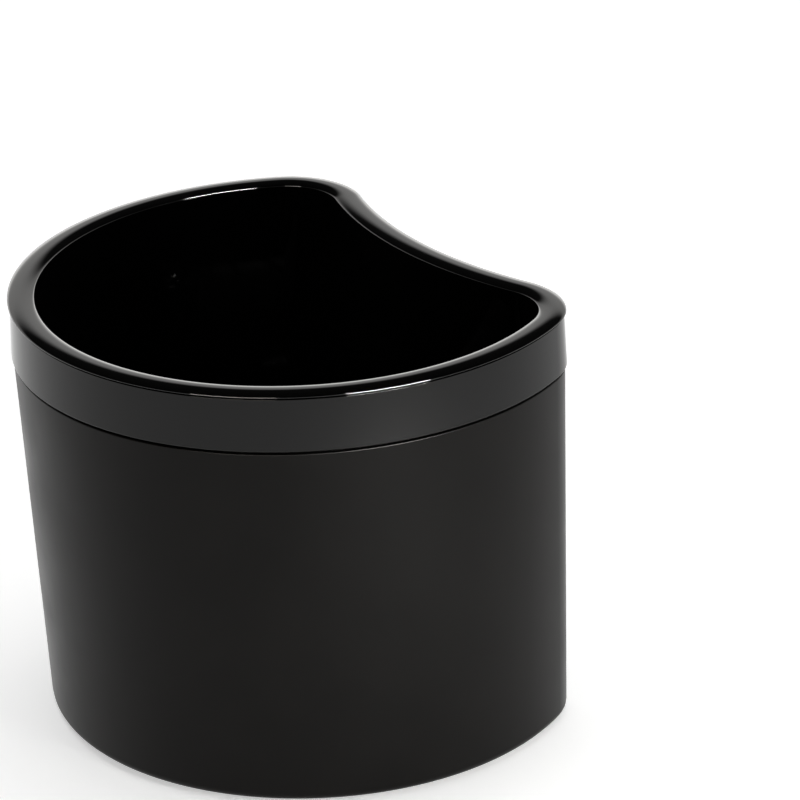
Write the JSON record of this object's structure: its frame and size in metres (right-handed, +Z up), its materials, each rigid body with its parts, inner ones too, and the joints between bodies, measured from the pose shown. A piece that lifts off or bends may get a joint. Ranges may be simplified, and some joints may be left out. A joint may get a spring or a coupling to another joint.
{
  "type": "espresso knock box",
  "caption": "Crescent-plan knock box: satin tapered shell, glossy rim band, lift-out bucket with a broad lip, and a removable rubber-sleeved knock bar.",
  "frame": {"origin": "where the axis of the round wall meets the surface the box stands on, on the underside of the base pad", "axes": "+Z up, +Y towards the concave notch, X across the box; the box is symmetric about X = 0"},
  "size_m": [0.14, 0.1142, 0.1085],
  "materials": {
    "shell_satin": "fine satin moulded black, soft broad reflections",
    "band_gloss": "polished black",
    "bucket_gloss": "polished black",
    "seal_rubber": "matt black soft rubber",
    "sleeve_rubber": "matt black rubber with shallow grooves",
    "pad_rubber": "matt dark grey non-slip rubber",
    "end_plastic": "moulded nylon, slightly satin",
    "steel": "plain zinc-grey steel",
    "brass": "knurled brass"
  },
  "bodies": {
    "shell": {"outer_shell": "shell_satin", "rim_band": "band_gloss", "rim_seal": "seal_rubber", "ballast_plate": "steel", "ballast_screws": "steel", "threaded_inserts": "brass", "base_pad": "pad_rubber", "damper_front": "pad_rubber", "damper_rear": "pad_rubber", "damper_left": "pad_rubber", "damper_right": "pad_rubber"},
    "bucket": {"inner_bucket": "bucket_gloss", "cradle_liner_front": "seal_rubber", "cradle_liner_rear": "seal_rubber"},
    "bar": {"bar_core": "steel", "bar_sleeve": "sleeve_rubber", "bar_end_front": "end_plastic", "bar_end_rear": "end_plastic", "bar_screws": "steel", "bar_washers": "steel"}
  },
  "joints": [
    {"name": "bucket_lift", "type": "slide", "parent": "shell", "child": "bucket", "axis": [0, 0, 1], "range_m": [0, 0.125]},
    {"name": "bar_lift", "type": "slide", "parent": "bucket", "child": "bar", "axis": [0, 0, 1], "range_m": [0, 0.075]}
  ]
}
